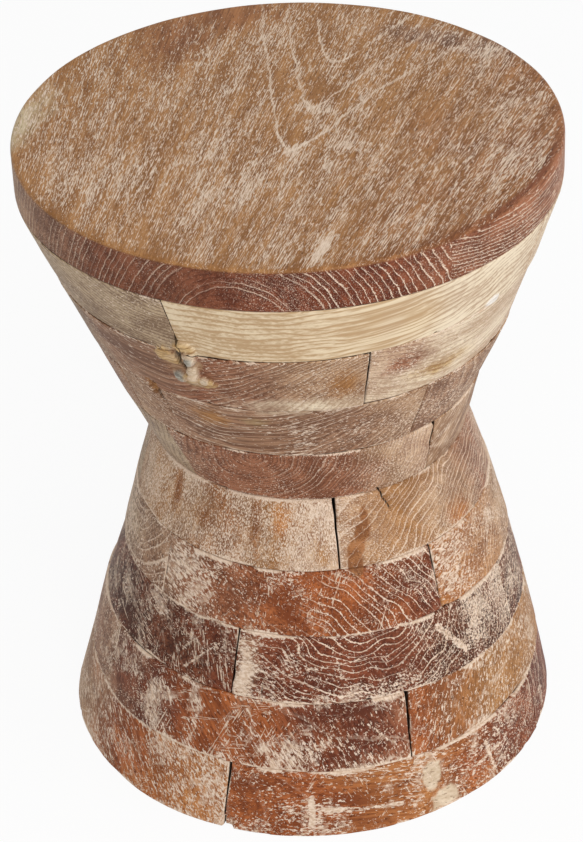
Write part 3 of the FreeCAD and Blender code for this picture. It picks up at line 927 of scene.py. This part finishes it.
def board_marks(across, along, up, points, figure):
    """Marks of a board of the top, from the place of its vertices across, along and above the face."""
    on_rim = fade(-up, *RIM_STARTS)
    reach = np.hypot(along + FAN_LENGTH, across - FAN_ACROSS)
    swing = np.arctan2(across - FAN_ACROSS, along + FAN_LENGTH)
    fibre = np.stack([reach - FAN_LENGTH, swing * FAN_LENGTH, up], -1)
    (face, face_year, face_drawn), (rim, rim_year, rim_drawn) = figure(across, along, up)
    side_grain = on_rim > 0.5
    place = np.clip(0.5 + across / (2.0 * TOP_RADIUS), 0.0, 1.0)
    marks = tone_marks(FACE_TONES, np.clip(place + 0.1 * clouds(points, 30.0, 91), 0.0, 1.0))
    marks["fibre"] = fibre * FACE_FIBRES
    marks["veins"] = FACE_VEINS + (RIM_VEINS - FACE_VEINS) * on_rim
    face = face + 2.0 * clouds(fibre * (0.5, 1.0, 1.0), 30.0, 95) + 1.2 * clouds(fibre, 11.0, 96)
    rim = rim + 1.6 * clouds(fibre * (0.5, 1.0, 1.0), 40.0, 90) + 0.5 * clouds(fibre, 9.0, 97)
    marks["growth"] = np.where(side_grain, rim, face)
    marks["year"] = np.where(side_grain, rim_year, face_year)
    drawn = np.where(side_grain, rim_drawn, face_drawn)
    drawn = drawn * (1.0 - 0.35 * fade(clouds(points, 14.0, 98), -0.2, 0.6))
    marks["figure"] = drawn * (1.0 - 4.0 * on_rim * (1.0 - on_rim))
    marks["split"] = np.full(len(points), FAR)
    marks["blots"] = np.zeros(len(points))
    inset = TOP_RADIUS - np.hypot(across, along)
    face_lime = FACE_LIME + 0.03 * clouds(points, 50.0, 92)
    face_lime += STREAK_LIME * clouds(fibre * (0.12, 1.0, 1.0), 9.0, 93)
    face_lime += FINE_STREAK_LIME * clouds(fibre * (0.1, 1.0, 1.0), 4.0, 99)
    face_lime -= EDGE_RUBBED * np.exp(-inset / EDGE_RUB_REACH)
    past_line = np.mod(face, face_year)
    to_line = np.minimum(past_line, face_year - past_line)
    face_lime += FIGURE_LIME * face_drawn * np.exp(-((to_line / FIGURE_LIME_REACH) ** 2))
    marks["lime"] = face_lime
    for number, patch in enumerate(TOP_PATCHES):
        share = patch_share(across - patch.place[0], along - patch.place[1], patch, points, 800 + 2 * number)
        lay_patch(marks, patch, share * (1.0 - on_rim))
    rim_lime = np.where(across > TOP_SEAM, SIDE_RIM_LIME, RIM_LIME) + 0.12 * clouds(points, 30.0, 94)
    marks["lime"] += (rim_lime - marks["lime"]) * on_rim
    worn = worn_rim(across, along) * (1.0 - fade(inset, 5.0, 9.0)) * (1.0 - on_rim)
    for mark, colours in tone_marks(RIM_TONES, place).items():
        marks[mark] += (colours - marks[mark]) * on_rim[:, None]
    lay_patch(marks, Patch(None, None, "wine", -0.15), worn)
    return marks


# Finishes


class Finish:
    """A material whose nodes are added one by one, each given its inputs as sockets, numbers or colours."""

    def __init__(self, name):
        self.material = bpy.data.materials.new(name)
        self.material.use_nodes = True
        self.tree = self.material.node_tree
        self.shader = self.tree.nodes["Principled BSDF"]

    def put(self, socket, value):
        """Links a socket to an input, or sets the input's own value."""
        if isinstance(value, bpy.types.NodeSocket):
            self.tree.links.new(value, socket)
        else:
            socket.default_value = value

    def add(self, kind, inputs, **settings):
        """Adds a node with its settings and its inputs, by name or by number."""
        node = self.tree.nodes.new(kind)
        for name, value in settings.items():
            setattr(node, name, value)
        for key, value in inputs.items():
            self.put(node.inputs[key], value)
        return node

    def mark(self, name, output="Fac"):
        """A number, vector or colour marked on the piece's vertices."""
        return self.add("ShaderNodeAttribute", {}, attribute_name=name).outputs[output]

    def sum(self, a, b, c=0.0):
        """a times b, plus c."""
        return self.add("ShaderNodeMath", {0: a, 1: b, 2: c}, operation="MULTIPLY_ADD").outputs[0]

    def work(self, operation, a, b=0.0):
        """One step of arithmetic on two numbers."""
        return self.add("ShaderNodeMath", {0: a, 1: b}, operation=operation).outputs[0]

    def most(self, *values):
        """The greatest of some numbers."""
        greatest = values[0]
        for value in values[1:]:
            greatest = self.work("MAXIMUM", greatest, value)
        return greatest

    def stretch(self, vector, factors):
        """A vector with each axis scaled."""
        return self.add("ShaderNodeVectorMath", {0: vector, 1: factors}, operation="MULTIPLY").outputs[0]

    def turned(self, vector, turn):
        """A vector turned by some degrees about its second axis."""
        inputs = {"Vector": vector, "Angle": math.radians(turn)}
        return self.add("ShaderNodeVectorRotate", inputs, rotation_type="Y_AXIS").outputs[0]

    def grain(self, vector, factors, detail=2.0, roughness=0.5):
        """Noise on a scaled vector, from 0 to 1."""
        inputs = {"Scale": 1.0, "Detail": detail, "Roughness": roughness}
        inputs["Vector"] = self.stretch(vector, factors)
        return self.add("ShaderNodeTexNoise", inputs).outputs["Fac"]

    def luck(self, number):
        """A number from 0 to 1 drawn afresh for each whole number."""
        inputs = {"W": self.work("FLOOR", number)}
        return self.add("ShaderNodeTexWhiteNoise", inputs, noise_dimensions="1D").outputs["Value"]

    def step(self, value, low, high):
        """A smooth step from 0 at low to 1 at high."""
        inputs = {"Value": value, "From Min": low, "From Max": high}
        return self.add("ShaderNodeMapRange", inputs, interpolation_type="SMOOTHSTEP").outputs[0]

    def above(self, value, level, softness):
        """1 where a value passes a level, over a soft border."""
        return self.step(value, level, self.work("ADD", level, softness))

    def ramp(self, value, stops):
        """A curve of straight runs through (place, height) stops."""
        node = self.add("ShaderNodeValToRGB", {"Fac": value})
        elements = node.color_ramp.elements
        while len(elements) < len(stops):
            elements.new(0.5)
        for element, (place, height) in zip(elements, stops):
            element.position = place
            element.color = (height, height, height, 1.0)
        return node.outputs[0]

    def blend(self, share, a, b, way="MIX"):
        """Two colours mixed by a share."""
        node = self.add("ShaderNodeMix", {}, data_type="RGBA", blend_type=way)
        for socket, value in ((node.inputs[0], share), (node.inputs[6], a), (node.inputs[7], b)):
            self.put(socket, value)
        return node.outputs[2]


def paint(colour):
    """A screen colour as a shader colour."""
    return (*screen_to_light(colour), 1.0)


# Scratches and smears cross the fibres both ways, at these angles in degrees
SCRATCH_TURNS = (48.0, -38.0)


def limed_teak():
    """Reclaimed teak rubbed with white lime, read from the marks that each piece carries.

    The bare wood runs from pale to dark along its fibres, in broad bands and through each growth ring, with
    dark pits. Lime sits in short dashes and fine pores along the fibres, in ragged blots, in smears and
    scratches across them, and in the first pores of the growth rings that the figure draws. How much of each
    shows follows the lime mark, gathered into clumps.
    """
    finish = Finish("limed_teak")
    fibre, growth, year = finish.mark("fibre", "Vector"), finish.mark("growth"), finish.mark("year")
    pale, dark = finish.mark("pale", "Color"), finish.mark("dark", "Color")
    lime, figure, split = finish.mark("lime"), finish.mark("figure"), finish.mark("split")
    blotted, veins = finish.mark("blots"), finish.mark("veins")

    # Noise along, across and up the fibres: its waves to the mm, its detail and its roughness
    hair = finish.grain(fibre, (0.02, 0.8, 0.8), 3.0, 0.6)
    band = finish.grain(fibre, (0.008, 0.09, 0.09), 2.0, 0.5)
    mottle = finish.grain(fibre, (0.016, 0.03, 0.03), 4.0, 0.6)
    clump = finish.grain(fibre, (0.02, 0.05, 0.05), 4.0, 0.62)
    dashes = finish.grain(fibre, (0.07, 0.85, 0.85), 4.0, 0.68)
    pores = finish.grain(fibre, (0.2, 1.0, 1.0), 2.0, 0.6)
    blots = finish.grain(fibre, (0.07, 0.2, 0.2), 9.0, 0.76)
    pits = finish.step(finish.grain(fibre, (0.15, 0.9, 0.9), 2.0, 0.6), 0.59, 0.65)

    # Growth rings: the year that each spot grew in, how late in it, and the lime in the year's first pores
    wander = finish.sum(band, 2.4, finish.sum(hair, 1.1, -1.75))
    count = finish.work("DIVIDE", finish.work("ADD", growth, wander), year)
    phase = finish.work("FRACT", count)
    late = finish.ramp(phase, [(0.0, 0.3), (0.12, 0.0), (0.6, 0.25), (0.93, 1.0), (1.0, 0.3)])
    luck = finish.luck(count)
    width = finish.sum(lime, 0.8, finish.sum(year, 0.075, 0.2))
    width = finish.work("MULTIPLY", width, finish.sum(dashes, 5.0, -1.6))
    width = finish.work("MULTIPLY", width, finish.sum(luck, 0.9, 0.55))
    since = finish.work("MULTIPLY", phase, year)
    first_pores = finish.work("SUBTRACT", 1.0, finish.step(since, finish.sum(width, 0.75), width))
    chosen = finish.step(finish.work("ADD", luck, figure), 0.6, 1.0)
    line = finish.work("MULTIPLY", first_pores, finish.work("MULTIPLY", figure, chosen))

    # The bare wood
    tone = finish.sum(hair, 2.2, finish.sum(band, 1.9, finish.sum(mottle, 1.6, -2.25)))
    tone = finish.sum(finish.work("ADD", late, -0.4), veins, tone)
    wood = finish.blend(finish.step(tone, -0.1, 1.1), pale, dark)
    pit_dark = finish.blend(1.0, dark, paint(PIT_SHADE), "MULTIPLY")
    pitted = finish.work("MULTIPLY", pits, finish.work("SUBTRACT", 1.0, veins))
    wood = finish.blend(pitted, wood, pit_dark)

    # The lime: each kind shows where its noise passes a level, which falls as the cover grows
    gathered = finish.sum(blotted, 1.05, 0.2)
    cover = finish.sum(gathered, finish.work("ADD", clump, -0.5), lime)
    dash = finish.above(dashes, finish.sum(cover, -0.3, 0.685), 0.015)
    pore = finish.above(pores, finish.sum(cover, -0.28, 0.695), 0.02)
    blot = finish.above(blots, finish.sum(blotted, -0.12, finish.sum(cover, -0.4, 0.885)), 0.02)
    scratched, smeared = 0.0, 0.0
    for turn in SCRATCH_TURNS:
        way = finish.turned(fibre, turn)
        here = finish.grain(way, (0.03, 0.06, 0.06), 3.0, 0.6)
        level = finish.sum(here, -0.7, finish.sum(blotted, -0.12, finish.sum(dashes, -0.1, 1.17)))
        scratch = finish.above(finish.grain(way, (0.015, 1.1, 1.1), 3.0, 0.55), level, 0.03)
        level = finish.sum(cover, -0.3, finish.sum(blotted, -0.14, 0.76))
        smear = finish.above(finish.grain(way, (0.03, 0.1, 0.1), 8.0, 0.75), level, 0.1)
        scratched, smeared = finish.most(scratch, scratched), finish.most(smear, smeared)
    held = finish.most(
        finish.work("MULTIPLY", dash, 0.95),
        finish.work("MULTIPLY", pore, 0.8),
        finish.work("MULTIPLY", blot, 0.95),
        finish.work("MULTIPLY", scratched, 0.8),
        finish.work("MULTIPLY", smeared, finish.sum(dashes, 1.5, -0.2)),
        line,
    )
    lime_colour = finish.blend(finish.step(pores, 0.35, 0.65), paint(LIME_THIN), paint(LIME_THICK))
    surface = finish.blend(held, wood, lime_colour)
    # Near-black painted shade in the splits and along open seams and joints
    painted_gap_share = finish.work("SUBTRACT", 1.0, finish.step(split, 0.55, 1.0))
    finish.put(finish.shader.inputs["Base Color"], finish.blend(painted_gap_share, surface, paint(PAINTED_GAP_SHADE)))

    finish.put(finish.shader.inputs["Roughness"], finish.sum(held, 0.2, finish.sum(hair, 0.2, 0.45)))
    finish.shader.inputs["Specular IOR Level"].default_value = 0.14
    relief = finish.sum(held, -0.5, finish.sum(hair, 1.0, finish.sum(blots, 0.5, 0.0)))
    bump = finish.add("ShaderNodeBump", {"Height": relief, "Strength": 0.5, "Distance": 0.0004})
    finish.put(finish.shader.inputs["Normal"], bump.outputs[0])
    return finish.material


def bare_dowel():
    """Bare hardwood dowel: long fibre streaks up the pin, with fine pores."""
    finish = Finish("bare_dowel")
    place = finish.add("ShaderNodeTexCoord", {}).outputs["Object"]
    streak = finish.grain(place, (900.0, 900.0, 40.0), 3.0, 0.6)
    colour = finish.blend(finish.step(streak, 0.3, 0.7), paint(DOWEL_PALE), paint(DOWEL_DARK))
    finish.put(finish.shader.inputs["Base Color"], colour)
    finish.put(finish.shader.inputs["Roughness"], finish.sum(streak, 0.2, 0.5))
    bump = finish.add("ShaderNodeBump", {"Height": streak, "Strength": 0.3, "Distance": 0.0003})
    finish.put(finish.shader.inputs["Normal"], bump.outputs[0])
    return finish.material


# Rays that show the studio as plain white, how much of that the floor shows, and the sky's light for others
WHITE_RAYS = ("Is Camera Ray", "Is Glossy Ray", "Is Transmission Ray")
FLOOR_WHITE = 0.91
SKY_LEVEL = 0.55


def pale_floor():
    """A matt white floor. The camera sees most of it as plain white, with the table's shadow faint on it."""
    finish = Finish("pale_floor")
    finish.shader.inputs["Base Color"].default_value = (0.92, 0.92, 0.92, 1.0)
    finish.shader.inputs["Roughness"].default_value = 0.9
    finish.shader.inputs["Specular IOR Level"].default_value = 0.1
    white = finish.add("ShaderNodeEmission", {"Color": (1.0, 1.0, 1.0, 1.0), "Strength": 1.0})
    path = finish.add("ShaderNodeLightPath", {})
    seen = finish.most(*(path.outputs[ray] for ray in WHITE_RAYS))
    share = finish.work("MULTIPLY", seen, FLOOR_WHITE)
    mixed = finish.add("ShaderNodeMixShader", {0: share, 1: finish.shader.outputs[0], 2: white.outputs[0]})
    finish.put(finish.tree.nodes["Material Output"].inputs["Surface"], mixed.outputs[0])
    return finish.material


# The studio


def floor():
    """A pale floor sheet under the table."""
    reach = 20000.0
    points = reach * np.array([[-1.0, -1.0, 0.0], [1.0, -1.0, 0.0], [1.0, 1.0, 0.0], [-1.0, 1.0, 0.0]])
    return new_piece("floor", points, np.array([[0, 1, 2, 3]]), np.zeros((0, 3), int), {})


def lamp(name, place, aim, size, power):
    """A square soft box, turned from its place towards its aim."""
    light = bpy.data.lights.new(name, "AREA")
    light.size = size
    light.energy = power
    box = bpy.data.objects.new(name, light)
    away = np.array(place) - np.array(aim)
    away = away / np.linalg.norm(away)
    side = np.cross((0.0, 0.0, 1.0), away)
    side = side / np.linalg.norm(side)
    box.matrix_world = axes_at(side, np.cross(away, side), away, place)
    bpy.context.scene.collection.objects.link(box)


def axes_at(right, up, back, place):
    """The matrix of an object with these axes at a place."""
    columns = np.stack([right, up, back, place], -1)
    return Matrix([*columns.tolist(), [0.0, 0.0, 0.0, 1.0]])


def sky():
    """Even white light from all round, seen as white behind the table."""
    world = bpy.data.worlds.new("studio")
    world.use_nodes = True
    tree = world.node_tree
    background = tree.nodes["Background"]
    path = tree.nodes.new("ShaderNodeLightPath")
    seen = path.outputs[WHITE_RAYS[0]]
    for ray in WHITE_RAYS[1:]:
        either = tree.nodes.new("ShaderNodeMath")
        either.operation = "MAXIMUM"
        tree.links.new(seen, either.inputs[0])
        tree.links.new(path.outputs[ray], either.inputs[1])
        seen = either.outputs[0]
    level = tree.nodes.new("ShaderNodeMapRange")
    level.inputs["To Min"].default_value = SKY_LEVEL
    level.inputs["To Max"].default_value = 1.0
    tree.links.new(seen, level.inputs["Value"])
    background.inputs["Color"].default_value = (1.0, 1.0, 1.0, 1.0)
    tree.links.new(level.outputs[0], background.inputs["Strength"])
    bpy.context.scene.world = world


# The photograph's camera, in metres and degrees: it looks down, a little to the left, and is rolled
IMAGE_HEIGHT = 842
SENSOR_HEIGHT = 36.0
FOCAL_PIXELS = 2905.3
CAMERA_PLACE = (0.0, -1.6458, 1.3573)
CAMERA_DOWN = 34.487
CAMERA_RIGHT = -0.303
CAMERA_ROLL = -2.416


def camera():
    """The camera: a view direction from its turns, the axes square to it, and the roll about it."""
    down, right, roll = (math.radians(turn) for turn in (CAMERA_DOWN, CAMERA_RIGHT, CAMERA_ROLL))
    look = np.array([math.sin(right) * math.cos(down), math.cos(right) * math.cos(down), -math.sin(down)])
    level = np.array([math.cos(right), -math.sin(right), 0.0])
    upright = np.cross(level, look)
    data = bpy.data.cameras.new("camera")
    data.sensor_fit = "VERTICAL"
    data.sensor_height = SENSOR_HEIGHT
    data.lens = FOCAL_PIXELS * SENSOR_HEIGHT / IMAGE_HEIGHT
    data.clip_end = 60.0
    eye = bpy.data.objects.new("camera", data)
    across = level * math.cos(roll) + upright * math.sin(roll)
    eye.matrix_world = axes_at(across, np.cross(-look, across), -look, CAMERA_PLACE)
    bpy.context.scene.collection.objects.link(eye)
    bpy.context.scene.camera = eye


# The table

teak = limed_teak()


def dress(piece, node):
    """Gives a piece its teak, and lets it ride on the table in place of the node it stands for."""
    piece.data.materials.append(teak)
    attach(piece, "root")
    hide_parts(node)


dress(main_board(), "top_main_board")
dress(side_board(), "top_side_board")
for ring in range(1, RINGS + 1):
    for place, letter in enumerate(BLOCK_LETTERS):
        dress(ring_block(ring, place), f"ring_{ring}_block_{letter}")

dowel_finish = bare_dowel()
for node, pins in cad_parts.items():
    if node.startswith("dowels"):
        pins.data.materials.clear()
        pins.data.materials.append(dowel_finish)

ground = floor()
ground.data.materials.append(pale_floor())
sky()
lamp("front_box", (0.5, -2.2, 2.2), (0.0, 0.0, 0.2), 1.6, 34.0)
lamp("right_box", (2.0, -1.0, 1.2), (0.0, 0.0, 0.2), 1.4, 16.0)
camera()
bpy.context.scene.view_settings.view_transform = "Standard"
